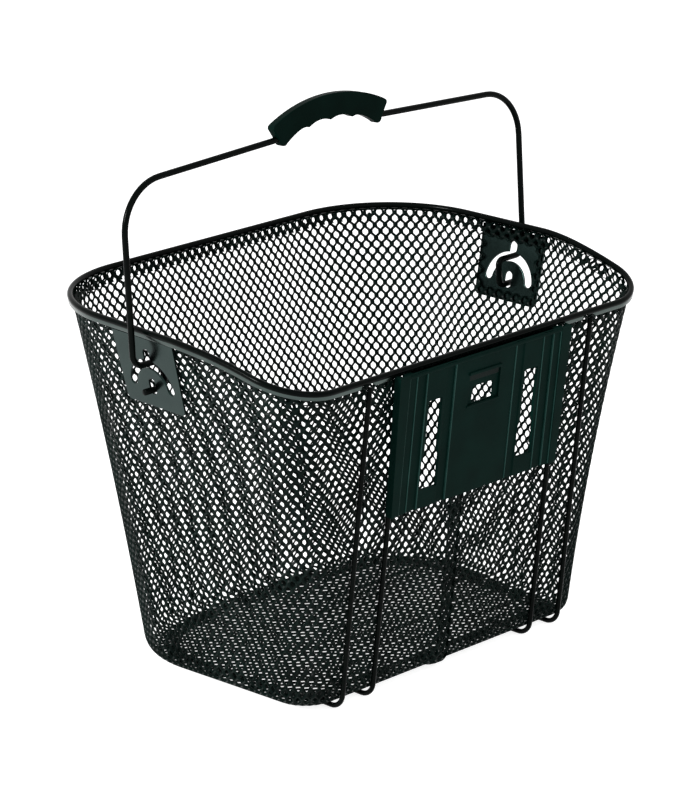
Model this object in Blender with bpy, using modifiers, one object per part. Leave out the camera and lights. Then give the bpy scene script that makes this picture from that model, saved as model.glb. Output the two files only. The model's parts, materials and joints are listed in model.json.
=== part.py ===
"""Handlebar basket: a tapered expanded-metal basket with a rolled rim, four rear support
wires with bent feet, a moulded receiver plate on the rear wall, two pivot plates in the side
walls and a wire bail with a moulded grip that swings on them.

Metres, +Z up. X is the width, the rear wall and its receiver plate face -Y, and the origin
is on the floor under the middle of the basket's bounding box.
"""
import math

import bmesh
import bpy
from mathutils import Matrix, Vector

# ---- rim: centre line of the rolled bead ----------------------------------------------
RIM_Z = 0.2480            # height of the bead's centre at the front and the sides
RIM_FRONT_Y = 0.1279
RIM_REAR_Y = -0.1222
RIM_FRONT_BOW = (0.0410, RIM_FRONT_Y, 0.0410)      # a straight front
RIM_FRONT_CORNER = (0.1689, RIM_FRONT_Y, 0.078)    # x, y, tangent length
RIM_SIDE_BREAK = (0.1754, -0.0296, 0.014)
RIM_REAR_CORNER = (0.1670, RIM_REAR_Y, 0.034)
RIM_DROP = 0.0200         # how far the rear of the rim lies below the front
RIM_DROP_START_Y = -0.0177
RIM_DROP_POWER = 1.7
BEAD_RADIUS = 0.0021
SKIRT_DEPTH = 0.0036      # from the bead's centre down to the skirt's edge
SKIRT_THICKNESS = 0.0008
SKIRT_OUTSET = 0.0007     # its inner face outside the bead's centre line
SKIRT_NOTCH_RADIUS = 0.0045
SKIRT_NOTCH_DROP = 0.0012    # the notch's centre below the skirt's edge

# ---- walls and base --------------------------------------------------------------------
BASE_Z = 0.0037           # underside of the sheet
BASE_FRONT_Y = 0.0930     # middle of the bowed front
BASE_FRONT_BOW = (0.0410, BASE_FRONT_Y, 0.0410)
BASE_FRONT_CORNER = (0.1420, 0.0742, 0.0573)
BASE_SIDE_BREAK = (0.1352, -0.0290, 0.014)
BASE_REAR_CORNER = (0.1312, -0.0958, 0.0240)
SHEET = 0.0012            # depth of the expanded sheet
WALL_INSET = 0.0006       # the wall's outer face inside the bead's centre line
SIDE_FLARE = 0.65         # how much steeper the side walls lean near the rim
FRONT_FLARE = 0.30
FLARE_FADE = 1.45         # how fast the side flare dies out round the front corners
BOTTOM_RADIUS = 0.0100
FLANGE = 0.012            # the wall sheet's inward flange under the base panel
GAP = 0.0003
WALL_LEVELS = (0.93, 0.82, 0.68, 0.52, 0.36, 0.22)    # shares of the wall's height
SIDE_WINDOW = (-0.0240, 0.0245, -0.0060, 0.0300)      # y and z round the bail's pivot

# ---- support wires ---------------------------------------------------------------------
WIRE_RADIUS = 0.0017
OUTER_WIRE_X = 0.1035
INNER_WIRE_X = 0.0755
WIRE_STANDOFF = 0.0028    # wire centre out from the rear wall's bead plane
REAR_LEAN = math.atan(0.1125)
FOOT_BEND_RADIUS = 0.0105
FOOT_FRONT_Y = -0.0620
WIRE_TOP_GAP = 0.0011     # between the rim's bead and the wires' ends

# ---- receiver plate, in the rear wall's own plane ----------------------------------------
PLATE_TOP = 0.0018        # below the rear bead's centre
PLATE_BOTTOM = 0.0985
PLATE_HALF_TOP = 0.0805
PLATE_HALF_BOTTOM = 0.0775
PLATE_BACK = 0.0019       # standoff of its back face
PLATE_SHELL_BACK = 0.0042
PLATE_SHELL_X = 0.0665    # the shell is thin inside this, and full between the wires
REAR_WINDOW = (0.0630, -0.0940, -0.0190)    # half width, low and high edge
PLATE_FACES = (            # far edge in x and standoff of each step, from the middle out
    (0.0280, 0.0064), (0.0362, 0.0057), (0.0550, 0.0064), (0.0640, 0.0057),
    (0.0710, 0.0064), (0.0850, 0.0074),
)
PLATE_STEP_SLOPE = 0.0004
SLOT_X = 0.0450
SLOT_TOP = 0.0240
SLOT_STEP = 0.0600
SLOT_BOTTOM = 0.0858
SLOT_TAPER = 0.0040
SLOT_HALF_UPPER = 0.0062
SLOT_HALF_LOWER = 0.0081
POCKET_HALF_WIDTH = 0.0145
POCKET_TOP = 0.0140       # edges of the latch pocket and its window, below the bead
POCKET_BOTTOM = 0.0362
POCKET_FLOOR = 0.0052     # standoff
LATCH_HALF_WIDTH = 0.0098
LATCH_TOP = 0.0241
LATCH_BOTTOM = 0.0355

# ---- pivot plates and bail -------------------------------------------------------------
PIVOT_Y = 0.0054
PIVOT_Z = RIM_Z - 0.0402
PIVOT_PLATE_THICKNESS = 0.0015
PIVOT_PLATE_WIDTH = 0.0577
PIVOT_PLATE_HEIGHT = 0.0470
PIVOT_PLATE_RISE = 0.0026     # its top edge, behind the skirt
PIVOT_PLATE_TAPER = (0.0006, 0.0022)    # how far the rear and front edges lean in
PIVOT_PLATE_CORNER = 0.0035
ARC_RADIUS = 0.0180       # from the pivot to the upper pass of the bail
ARC_HALF_ANGLE = math.radians(80.0)
SLOT_HALF_WIDTH = 0.0031
NOTCH_TOP = 0.0285        # above the pivot
LOWER_SLOT_LIFT = 0.0048  # how far the lower slot rises above the pivot
BAIL_RADIUS = 0.0021
BAIL_LEAN = math.radians(3.8)
BAIL_HALF_WIDTH = 0.1821
BAIL_INNER_X = 0.1570
BAIL_STUB_X = 0.1745
BAIL_SHOULDER_H = 0.1338
BAIL_MIDDLE_H = 0.1397
BAIL_CORNER_RADIUS = 0.033
BAIL_BENDS = (0.0040, 0.0040, 0.0080, BAIL_CORNER_RADIUS, 0.020, 0.060)    # stub to grip
BAIL_CROWN = 0.0600       # bend under the grip's middle

# ---- grip ------------------------------------------------------------------------------
GRIP_HALF_LENGTH = 0.0525
GRIP_THICKNESS = 0.0064
GRIP_TOP_H = 0.1621
GRIP_ARCH_RADIUS = 0.1148
GRIP_EDGE = 0.0012


# ---- scene helpers ---------------------------------------------------------------------
def clear_scene():
    for obj in list(bpy.data.objects):
        bpy.data.objects.remove(obj, do_unlink=True)
    for coll in list(bpy.data.collections):
        bpy.data.collections.remove(coll)


def new_collection(name):
    coll = bpy.data.collections.new(name)
    bpy.context.scene.collection.children.link(coll)
    return coll


def make_material(name, colour, roughness, metallic):
    mat = bpy.data.materials.new(name)
    mat.use_nodes = True
    shader = mat.node_tree.nodes["Principled BSDF"]
    shader.inputs["Base Color"].default_value = (*colour, 1.0)
    shader.inputs["Roughness"].default_value = roughness
    shader.inputs["Metallic"].default_value = metallic
    mat.diffuse_color = (*colour, 1.0)
    return mat


def link(obj, coll, material=None):
    coll.objects.link(obj)
    if material is not None:
        obj.data.materials.append(material)
    return obj


def smooth(obj, angle=35.0):
    obj.data.shade_smooth()
    obj.data.set_sharp_from_angle(angle=math.radians(angle))
    return obj


def boolean(obj, cutter, operation):
    mod = obj.modifiers.new(operation.lower(), "BOOLEAN")
    mod.operation = operation
    mod.solver = "EXACT"
    mod.object = cutter
    return mod


def hide_cutter(obj):
    obj.hide_render = True
    obj.display_type = "WIRE"
    return obj


def to_mesh(obj, coll, material=None):
    """The evaluated shape of a curve as a plain mesh object with the curve's name."""
    name = obj.name
    bpy.context.view_layer.update()
    evaluated = obj.evaluated_get(bpy.context.evaluated_depsgraph_get())
    mesh = bpy.data.meshes.new_from_object(evaluated)
    matrix = obj.matrix_world.copy()
    bpy.data.objects.remove(obj, do_unlink=True)
    bm = bmesh.new()
    bm.from_mesh(mesh)
    bmesh.ops.remove_doubles(bm, verts=bm.verts, dist=1e-6)
    bm.to_mesh(mesh)
    bm.free()
    mesh.materials.clear()
    result = bpy.data.objects.new(name, mesh)
    result.matrix_world = matrix
    return link(result, coll, material)


def tube(name, points, radius, coll, material=None, cyclic=False):
    """A round wire along a polyline."""
    curve = bpy.data.curves.new(name, "CURVE")
    curve.dimensions = "3D"
    curve.bevel_depth = radius
    curve.bevel_resolution = 2
    curve.use_fill_caps = not cyclic
    spline = curve.splines.new("POLY")
    spline.points.add(len(points) - 1)
    for point, co in zip(spline.points, points):
        point.co = (*co, 1.0)
    spline.use_cyclic_u = cyclic
    return to_mesh(link(bpy.data.objects.new(name, curve), coll), coll, material)


def prism(name, outline, half_depth, matrix, coll, material=None, holes=()):
    """A flat outline with holes and thickness, placed by a matrix whose Z is its normal."""
    curve = bpy.data.curves.new(name, "CURVE")
    curve.dimensions = "2D"
    curve.fill_mode = "BOTH"
    curve.extrude = half_depth
    for ring in (outline, *holes):
        spline = curve.splines.new("POLY")
        spline.points.add(len(ring) - 1)
        for point, co in zip(spline.points, ring):
            point.co = (co[0], co[1], 0.0, 1.0)
        spline.use_cyclic_u = True
    obj = link(bpy.data.objects.new(name, curve), coll)
    obj.matrix_world = matrix
    return to_mesh(obj, coll, material)


def grid_surface(name, rows, coll, material, closed):
    """An open surface through rows of points, closed around the rows if asked."""
    bm = bmesh.new()
    verts = [[bm.verts.new(co) for co in row] for row in rows]
    count = len(rows[0])
    for upper, lower in zip(verts, verts[1:]):
        for i in range(count if closed else count - 1):
            j = (i + 1) % count
            bm.faces.new((upper[i], lower[i], lower[j], upper[j]))
    mesh = bpy.data.meshes.new(name)
    bm.to_mesh(mesh)
    bm.free()
    return link(bpy.data.objects.new(name, mesh), coll, material)


# ---- flat geometry ---------------------------------------------------------------------
def arc(centre, radius, start, end, count):
    return [
        (
            centre[0] + radius * math.cos(start + (end - start) * i / count),
            centre[1] + radius * math.sin(start + (end - start) * i / count),
        )
        for i in range(count + 1)
    ]


def bezier(p0, p1, p2, p3, count):
    result = []
    for i in range(count + 1):
        t = i / count
        w = ((1 - t) ** 3, 3 * t * (1 - t) ** 2, 3 * t * t * (1 - t), t**3)
        result.append(
            tuple(w[0] * a + w[1] * b + w[2] * c + w[3] * d for a, b, c, d in zip(p0, p1, p2, p3))
        )
    return result


def rectangle(x0, x1, y0, y1):
    return [(x0, y0), (x1, y0), (x1, y1), (x0, y1)]


def fillet(points, radii, count=6):
    """A 3D polyline with a round bend at each inner point."""
    pts = [Vector(p) for p in points]
    result = [pts[0]]
    for before, corner, after, radius in zip(pts, pts[1:], pts[2:], radii):
        a = (before - corner).normalized()
        b = (after - corner).normalized()
        angle = a.angle(b)
        reach = radius / math.tan(angle / 2)
        centre = corner + (a + b).normalized() * radius / math.sin(angle / 2)
        start = corner + a * reach - centre
        axis = start.cross(corner + b * reach - centre).normalized()
        for i in range(count + 1):
            turn = Matrix.Rotation((math.pi - angle) * i / count, 3, axis)
            result.append(centre + turn @ start)
    result.append(pts[-1])
    return result


def half_ring(corners, counts):
    """Half a closed outline, from the front middle round the +X side to the rear middle.

    corners are (x, y, tangent length); counts are the straight runs' and bends' steps.
    """
    points = [Vector((0.0, corners[0][1]))]
    vertices = [points[0], *(Vector(c[:2]) for c in corners), Vector((0.0, corners[-1][1]))]
    for i, (run, bend) in enumerate(counts[:-1]):
        corner = vertices[i + 1]
        reach = corners[i][2]
        a = (vertices[i] - corner).normalized()
        b = (vertices[i + 2] - corner).normalized()
        start = corner + a * reach
        end = corner + b * reach
        last = points[-1]
        points += [last.lerp(start, k / run) for k in range(1, run + 1)]
        for k in range(1, bend + 1):
            t = k / bend
            weight = math.cos((math.pi - a.angle(b)) / 2)
            w0, w1, w2 = (1 - t) ** 2, 2 * t * (1 - t) * weight, t * t
            points.append((start * w0 + corner * w1 + end * w2) / (w0 + w1 + w2))
    last = points[-1]
    run = counts[-1]
    points += [last.lerp(vertices[-1], k / run) for k in range(1, run + 1)]
    return points


def full_ring(half):
    """The closed outline, counter-clockwise seen from above, from the rear middle."""
    right = list(reversed(half))
    left = [Vector((-p.x, p.y)) for p in half[1:-1]]
    return right + left


def normals(ring):
    result = []
    for i, _ in enumerate(ring):
        along = ring[(i + 1) % len(ring)] - ring[i - 1]
        result.append(Vector((along.y, -along.x)).normalized())
    return result


def rim_height(y):
    run = max(0.0, RIM_DROP_START_Y - y) / (RIM_DROP_START_Y - RIM_REAR_Y)
    return RIM_Z - RIM_DROP * run**RIM_DROP_POWER


RING_COUNTS = ((0, 5), (1, 9), (6, 2), (4, 8), 7)
RIM_HALF = half_ring(
    (RIM_FRONT_BOW, RIM_FRONT_CORNER, RIM_SIDE_BREAK, RIM_REAR_CORNER), RING_COUNTS
)
BASE_HALF = half_ring(
    (BASE_FRONT_BOW, BASE_FRONT_CORNER, BASE_SIDE_BREAK, BASE_REAR_CORNER), RING_COUNTS
)
RIM_RING = full_ring(RIM_HALF)
BASE_RING = full_ring(BASE_HALF)
RIM_NORMALS = normals(RIM_RING)
BASE_NORMALS = normals(BASE_RING)


def wall_ring(height, outset):
    """The wall's outer face at a share of the height between the base and the rim."""
    row = []
    for rim, base, normal in zip(RIM_RING, BASE_RING, RIM_NORMALS):
        fade = max(0.0, 1.0 - FLARE_FADE * max(0.0, normal.y - 0.10))
        ease_x = height + SIDE_FLARE * fade * (height * height - height)
        ease_y = height + FRONT_FLARE * max(0.0, normal.y) * (height * height - height)
        row.append(
            Vector(
                (
                    base.x + (rim.x - base.x) * ease_x + outset * normal.x * height,
                    base.y + (rim.y - base.y) * ease_y + outset * normal.y * height,
                    BASE_Z + (rim_height(rim.y) - BASE_Z) * height,
                )
            )
        )
    return row


# ---- frames of the rear wall and of the pivot plates -------------------------------------
REAR_RIM_Z = rim_height(RIM_REAR_Y)


def rear_matrix(standoff):
    """Local X is +X, local Y runs up the rear wall, local Z is the wall's outward normal."""
    up = Vector((0.0, -math.sin(REAR_LEAN), math.cos(REAR_LEAN)))
    out = Vector((0.0, -math.cos(REAR_LEAN), -math.sin(REAR_LEAN)))
    origin = Vector((0.0, RIM_REAR_Y, REAR_RIM_Z)) + out * standoff
    matrix = Matrix.Identity(4)
    matrix.col[1] = (*up, 0.0)
    matrix.col[2] = (*out, 0.0)
    matrix.col[3] = (*origin, 1.0)
    return matrix


def side_matrix(side):
    """Local X is +Y, local Y is +Z and local Z is +X, at the pivot's height and depth."""
    matrix = Matrix.Identity(4)
    matrix.col[0] = (0.0, 1.0, 0.0, 0.0)
    matrix.col[1] = (0.0, 0.0, 1.0, 0.0)
    matrix.col[2] = (1.0, 0.0, 0.0, 0.0)
    matrix.col[3] = (side * 0.166, PIVOT_Y, PIVOT_Z, 1.0)
    return matrix


def arc_slot_outline():
    """The bail's arc slot with its assembly notch, round the pivot; local Y is up."""
    outer = ARC_RADIUS + SLOT_HALF_WIDTH
    inner = ARC_RADIUS - SLOT_HALF_WIDTH
    low = math.pi / 2 - ARC_HALF_ANGLE
    high = math.pi / 2 + ARC_HALF_ANGLE
    notch = math.asin(SLOT_HALF_WIDTH / outer)
    first_end = (ARC_RADIUS * math.cos(low), ARC_RADIUS * math.sin(low))
    last_end = (ARC_RADIUS * math.cos(high), ARC_RADIUS * math.sin(high))
    points = arc((0, 0), outer, low, math.pi / 2 - notch, 10)
    points += arc((0, NOTCH_TOP - SLOT_HALF_WIDTH), SLOT_HALF_WIDTH, 0.0, math.pi, 8)
    points += arc((0, 0), outer, math.pi / 2 + notch, high, 10)
    points += arc(last_end, SLOT_HALF_WIDTH, high, high + math.pi, 6)[1:-1]
    points += arc((0, 0), inner, high, low, 16)
    points += arc(first_end, SLOT_HALF_WIDTH, low + math.pi, low + 2 * math.pi, 6)[1:-1]
    return points


def stadium(low, high, half_width):
    """A slot standing on local Y between two round ends' centres."""
    points = arc((0, high), half_width, 0.0, math.pi, 8)
    points += arc((0, low), half_width, math.pi, 2 * math.pi, 8)
    return points


# ---- sub-parts ---------------------------------------------------------------------------
def make_wall(parts, cutters, steel):
    top_drop = BEAD_RADIUS + GAP
    rows = [[p - Vector((0, 0, top_drop)) for p in wall_ring(1.0, -WALL_INSET)]]
    rows += [wall_ring(h, -WALL_INSET) for h in WALL_LEVELS]
    bend_top = wall_ring(BOTTOM_RADIUS / (RIM_Z - BASE_Z), -WALL_INSET)
    bend_low = [
        Vector((*(p - n * BOTTOM_RADIUS), BASE_Z)) for p, n in zip(BASE_RING, BASE_NORMALS)
    ]
    rows.append(bend_top)
    for t in (0.25, 0.5, 0.75, 1.0):
        row = []
        for start, corner, end in zip(bend_top, BASE_RING, bend_low):
            mid = Vector((corner.x, corner.y, BASE_Z))
            row.append(start * (1 - t) ** 2 + mid * 2 * t * (1 - t) + end * t * t)
        rows.append(row)
    rows.append([
        Vector((*(p - n * (BOTTOM_RADIUS + FLANGE)), BASE_Z))
        for p, n in zip(BASE_RING, BASE_NORMALS)
    ])
    wall = grid_surface("mesh_wall", rows, parts, steel, closed=True)
    shell = wall.modifiers.new("sheet", "SOLIDIFY")
    shell.thickness = SHEET
    shell.offset = -1.0
    half, low, high = REAR_WINDOW
    opening = rectangle(-half, half, low, high)
    cutter = prism("rear_window_cutter", opening, 0.006, rear_matrix(0.0), cutters)
    boolean(wall, hide_cutter(cutter), "DIFFERENCE")
    window = rectangle(*SIDE_WINDOW)
    for side in (-1, 1):
        cutter = prism(f"window_cutter_{side}", window, 0.03, side_matrix(side), cutters)
        boolean(wall, hide_cutter(cutter), "DIFFERENCE")
    return smooth(wall)


def make_base(parts, steel):
    inset = BOTTOM_RADIUS + 0.001
    outline = [tuple(p - n * inset) for p, n in zip(BASE_RING, BASE_NORMALS)]
    height = BASE_Z + SHEET + GAP + SHEET / 2
    matrix = Matrix.Translation((0.0, 0.0, height))
    return prism("mesh_base", outline, SHEET / 2, matrix, parts, steel)


def make_rim(parts, cutters, steel):
    path = [Vector((p.x, p.y, rim_height(p.y))) for p in RIM_RING]
    rim = tube("rim_strip", path, BEAD_RADIUS, parts, steel, cyclic=True)
    skirt_rows = []
    for depth in (BEAD_RADIUS * 0.3, SKIRT_DEPTH):
        skirt_rows.append([
            Vector((p.x + n.x * SKIRT_OUTSET, p.y + n.y * SKIRT_OUTSET, rim_height(p.y) - depth))
            for p, n in zip(RIM_RING, RIM_NORMALS)
        ])
    skirt = grid_surface("skirt_union", skirt_rows, cutters, steel, closed=True)
    sheet = skirt.modifiers.new("sheet", "SOLIDIFY")
    sheet.thickness = SKIRT_THICKNESS
    sheet.offset = 1.0
    for i, x in enumerate((-OUTER_WIRE_X, -INNER_WIRE_X, INNER_WIRE_X, OUTER_WIRE_X)):
        bow = arc((0, 0), SKIRT_NOTCH_RADIUS, 0.0, math.pi, 8)
        arch = [(x + a, b - SKIRT_DEPTH - SKIRT_NOTCH_DROP) for a, b in bow]
        arch += [(x - SKIRT_NOTCH_RADIUS, -0.008), (x + SKIRT_NOTCH_RADIUS, -0.008)]
        cutter = prism(f"notch_cutter_{i}", arch, 0.004, rear_matrix(0.0), cutters)
        boolean(skirt, hide_cutter(cutter), "DIFFERENCE")
    boolean(rim, hide_cutter(skirt), "UNION")
    return smooth(rim, 50.0)


def make_wires(parts, steel):
    names = ("support_wire_left_outer", "support_wire_left_inner",
             "support_wire_right_inner", "support_wire_right_outer")
    places = (-OUTER_WIRE_X, -INNER_WIRE_X, INNER_WIRE_X, OUTER_WIRE_X)
    rear = rear_matrix(WIRE_STANDOFF)
    top = rear @ Vector((0.0, -(BEAD_RADIUS + WIRE_TOP_GAP), 0.0))
    direction = (rear @ Vector((0.0, -0.1, 0.0)) - rear @ Vector((0.0, 0.0, 0.0))).normalized()
    corner = top + direction * ((top.z - WIRE_RADIUS) / -direction.z)
    for name, x in zip(names, places):
        foot = (x, FOOT_FRONT_Y, WIRE_RADIUS)
        path = fillet([(x, top.y, top.z), (x, corner.y, WIRE_RADIUS), foot], [FOOT_BEND_RADIUS])
        smooth(tube(name, path, WIRE_RADIUS, parts, steel), 60.0)


def plate_profile():
    """The receiver plate's section across its width: standoff against x, with wire grooves."""
    right = []
    start = 0.0
    for end, face in PLATE_FACES:
        right += [(start + PLATE_STEP_SLOPE, face), (end - PLATE_STEP_SLOPE, face)]
        start = end
    groove = WIRE_RADIUS + GAP
    top = arc((INNER_WIRE_X, WIRE_STANDOFF), groove, 0.0, math.pi, 8)
    back = [(PLATE_FACES[-1][0], PLATE_BACK), (INNER_WIRE_X + groove, PLATE_BACK), *top,
            (INNER_WIRE_X - groove, PLATE_BACK), (PLATE_SHELL_X, PLATE_BACK),
            (PLATE_SHELL_X, PLATE_SHELL_BACK)]
    half = right[1:] + back
    return half + [(-x, y) for x, y in reversed(half)]


def make_plate(parts, cutters, plastic):
    rear = rear_matrix(0.0)
    run = Matrix.Identity(4)
    run.col[0] = rear.col[0]
    run.col[1] = rear.col[2]
    run.col[2] = -rear.col[1]
    run.col[3] = (*(rear @ Vector((0.0, -(PLATE_TOP + PLATE_BOTTOM) / 2, 0.0))), 1.0)
    half_run = (PLATE_BOTTOM - PLATE_TOP) / 2
    plate = prism("receiver_plate", plate_profile(), half_run, run, parts, plastic)
    for side in (-1, 1):
        trim = [
            (side * PLATE_HALF_TOP, 0.004),
            (side * PLATE_HALF_BOTTOM, -PLATE_BOTTOM - 0.004),
            (side * 0.095, -PLATE_BOTTOM - 0.004),
            (side * 0.095, 0.004),
        ]
        cutter = prism(f"edge_cutter_{side}", trim, 0.01, rear_matrix(0.006), cutters)
        boolean(plate, hide_cutter(cutter), "DIFFERENCE")
        slot = [
            (-SLOT_HALF_UPPER, -SLOT_TOP),
            (-SLOT_HALF_UPPER, -SLOT_STEP),
            (-SLOT_HALF_LOWER, -SLOT_STEP - SLOT_TAPER),
            (-SLOT_HALF_LOWER, -SLOT_BOTTOM),
            (SLOT_HALF_LOWER, -SLOT_BOTTOM),
            (SLOT_HALF_LOWER, -SLOT_STEP - SLOT_TAPER),
            (SLOT_HALF_UPPER, -SLOT_STEP),
            (SLOT_HALF_UPPER, -SLOT_TOP),
        ]
        shape = [(side * SLOT_X + x, y) for x, y in slot]
        cutter = prism(f"slot_cutter_{side}", shape, 0.01, rear_matrix(0.005), cutters)
        boolean(plate, hide_cutter(cutter), "DIFFERENCE")
    half = POCKET_HALF_WIDTH
    pocket = rectangle(-half, half, -POCKET_BOTTOM, -POCKET_TOP)
    cutter = prism("pocket_cutter", pocket, 0.004, rear_matrix(POCKET_FLOOR + 0.004), cutters)
    boolean(plate, hide_cutter(cutter), "DIFFERENCE")
    half = LATCH_HALF_WIDTH
    window = rectangle(-half, half, -LATCH_BOTTOM, -LATCH_TOP)
    cutter = prism("latch_cutter", window, 0.01, rear_matrix(0.004), cutters)
    boolean(plate, hide_cutter(cutter), "DIFFERENCE")
    return smooth(plate, 30.0)


def pivot_plate_matrix(side):
    """Plane of a pivot plate's mid-thickness, with its normal pointing outwards."""
    top_front = Vector((side * 0.17355, 0.0354, RIM_Z - 0.0068))
    top_rear = Vector((side * 0.17510, -0.0222, RIM_Z - 0.0068))
    low_rear = Vector((side * 0.16440, -0.0226, RIM_Z - 0.0523))
    along = (top_front - top_rear).normalized()
    out = along.cross(top_rear - low_rear).normalized()
    if out.x * side < 0:
        out = -out
    matrix = Matrix.Identity(4)
    x_axis = along if side > 0 else -along
    y_axis = out.cross(x_axis)
    matrix.col[0] = (*x_axis, 0.0)
    matrix.col[1] = (*y_axis, 0.0)
    matrix.col[2] = (*out, 0.0)
    matrix.col[3] = (*(top_rear - out * PIVOT_PLATE_THICKNESS / 2), 1.0)
    return matrix


def make_pivot_plate(side, parts, cutters, steel):
    """A flat trapezium behind the rim's skirt, with a notch, an arc slot and a lower slot."""
    name = "pivot_plate_right" if side > 0 else "pivot_plate_left"
    width = PIVOT_PLATE_WIDTH
    height = PIVOT_PLATE_HEIGHT
    rear_lean, front_lean = PIVOT_PLATE_TAPER
    radius = PIVOT_PLATE_CORNER
    low = radius - height
    front = arc((width - front_lean - radius, low), radius, -math.pi / 2, 0.0, 4)
    rear = arc((rear_lean + radius, low), radius, -math.pi, -math.pi / 2, 4)
    flat = [(0.0, PIVOT_PLATE_RISE), (width, PIVOT_PLATE_RISE)]
    flat += list(reversed(front)) + list(reversed(rear))
    outline = [(x * side, y) for x, y in flat]
    matrix = pivot_plate_matrix(side)
    normal = matrix.col[2].to_3d()
    origin = matrix.col[3].to_3d()
    to_plate = matrix.inverted()
    holes = []
    for shape in (arc_slot_outline(), stadium(0.0, LOWER_SLOT_LIFT, SLOT_HALF_WIDTH)):
        ring = []
        for y, z in shape:
            on_axis = Vector((0.0, PIVOT_Y + y, PIVOT_Z + z))
            reach = normal.dot(origin - on_axis) / normal.x
            ring.append(tuple((to_plate @ (on_axis + Vector((reach, 0.0, 0.0))))[:2]))
        holes.append(ring)
    half = PIVOT_PLATE_THICKNESS / 2
    return smooth(prism(name, outline, half, matrix, parts, steel, holes), 30.0)


def bail_path():
    """Centre line of the bail in its own upright frame: x across, z up from the pivot."""
    half = [
        (BAIL_STUB_X, 0.0, 0.0),
        (BAIL_INNER_X, 0.0, 0.0),
        (BAIL_INNER_X, 0.0, ARC_RADIUS),
        (BAIL_HALF_WIDTH, 0.0, ARC_RADIUS),
        (BAIL_HALF_WIDTH, 0.0, BAIL_SHOULDER_H),
        (0.0480, 0.0, BAIL_MIDDLE_H),
        (0.0280, 0.0, 0.1480),
    ]
    mirrored = [(-x, y, z) for x, y, z in half]
    points = mirrored + [(0.0, 0.0, 0.1535)] + list(reversed(half))
    return fillet(points, [*BAIL_BENDS, BAIL_CROWN, *reversed(BAIL_BENDS)], 6)


def grip_outline():
    """Side view of the grip in the bail's frame: an arch with four finger grooves."""
    centre = (0.0, GRIP_TOP_H - GRIP_ARCH_RADIUS)
    reach = math.asin(0.0500 / GRIP_ARCH_RADIUS)
    points = arc(centre, GRIP_ARCH_RADIUS, math.pi / 2 - reach, math.pi / 2 + reach, 18)
    right = [
        *bezier((0.0200, 0.1432), (0.0245, 0.1456), (0.0330, 0.1415), (0.0408, 0.1362), 7),
        *arc((0.0432, 0.1386), 0.0035, math.radians(232), math.radians(360), 6),
        (GRIP_HALF_LENGTH, 0.1476),
        (GRIP_HALF_LENGTH - 0.0006, 0.1494),
    ]
    middle = bezier((0.0, 0.1449), (0.0062, 0.1475), (0.0138, 0.1469), (0.0200, 0.1432), 7)
    left = [(-x, z) for x, z in reversed(right)]
    groove = [(-x, z) for x, z in reversed(middle)]
    return points + left + groove[1:] + middle[1:] + right[1:]


def make_bail(parts, cutters, steel, plastic):
    pivot = bpy.data.objects.new("bail_pivot", None)
    parts.objects.link(pivot)
    pivot.location = (0.0, PIVOT_Y, PIVOT_Z)
    pivot.rotation_euler = (-BAIL_LEAN, 0.0, 0.0)
    bail = tube("bail_wire", bail_path(), BAIL_RADIUS, parts, steel)
    bail.parent = pivot
    upright = Matrix.Rotation(math.pi / 2, 4, "X")
    grip = prism("grip", grip_outline(), GRIP_THICKNESS / 2, upright, parts, plastic)
    grip.data.transform(upright)
    grip.matrix_world = Matrix.Identity(4)
    grip.parent = pivot
    edge = grip.modifiers.new("edge", "BEVEL")
    edge.width = GRIP_EDGE
    edge.segments = 2
    edge.limit_method = "ANGLE"
    edge.angle_limit = math.radians(60)
    tunnel = tube("grip_tunnel", bail_path(), BAIL_RADIUS + GAP, cutters)
    tunnel.parent = pivot
    boolean(grip, hide_cutter(tunnel), "DIFFERENCE")
    smooth(bail, 60.0)
    return smooth(grip, 40.0)


def main():
    clear_scene()
    parts = new_collection("handlebar_basket")
    cutters = new_collection("cutters")
    sheet = make_material("coated_expanded_steel", (0.014, 0.022, 0.020), 0.42, 0.2)
    wire = make_material("coated_wire", (0.010, 0.016, 0.015), 0.35, 0.2)
    plate = make_material("coated_pivot_steel", (0.040, 0.055, 0.052), 0.45, 0.2)
    plastic = make_material("moulded_plastic", (0.008, 0.018, 0.015), 0.40, 0.0)
    make_wall(parts, cutters, sheet)
    make_base(parts, sheet)
    make_rim(parts, cutters, wire)
    make_wires(parts, wire)
    make_plate(parts, cutters, plastic)
    for side in (-1, 1):
        make_pivot_plate(side, parts, cutters, plate)
    make_bail(parts, cutters, wire, plastic)


main()
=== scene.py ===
"""Looks of the handlebar basket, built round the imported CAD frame.

Metres, in the frame's own axes: X across, -Y out of the rear wall, +Z up.
"""
import json
import math

import bmesh
import bpy
import numpy as np
from mathutils import Matrix, Vector


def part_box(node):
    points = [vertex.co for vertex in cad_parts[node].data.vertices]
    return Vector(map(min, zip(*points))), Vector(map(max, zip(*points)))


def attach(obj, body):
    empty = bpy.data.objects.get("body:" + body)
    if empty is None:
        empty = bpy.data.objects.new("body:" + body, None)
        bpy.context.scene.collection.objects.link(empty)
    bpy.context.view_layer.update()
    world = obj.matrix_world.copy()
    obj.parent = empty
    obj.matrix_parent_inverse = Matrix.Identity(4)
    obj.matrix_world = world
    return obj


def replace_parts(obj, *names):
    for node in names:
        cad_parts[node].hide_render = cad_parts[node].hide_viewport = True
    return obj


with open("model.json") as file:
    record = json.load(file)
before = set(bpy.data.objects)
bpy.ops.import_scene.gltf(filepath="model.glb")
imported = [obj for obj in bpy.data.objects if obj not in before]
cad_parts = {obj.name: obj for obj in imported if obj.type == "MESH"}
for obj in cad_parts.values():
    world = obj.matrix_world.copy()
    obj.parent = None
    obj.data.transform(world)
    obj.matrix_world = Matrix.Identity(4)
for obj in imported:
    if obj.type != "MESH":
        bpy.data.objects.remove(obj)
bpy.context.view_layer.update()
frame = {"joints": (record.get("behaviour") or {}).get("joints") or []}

# ---- driving dimensions, the same as the CAD's -------------------------------------------
PIVOT = Vector(frame["joints"][0]["pos_m"])
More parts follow.
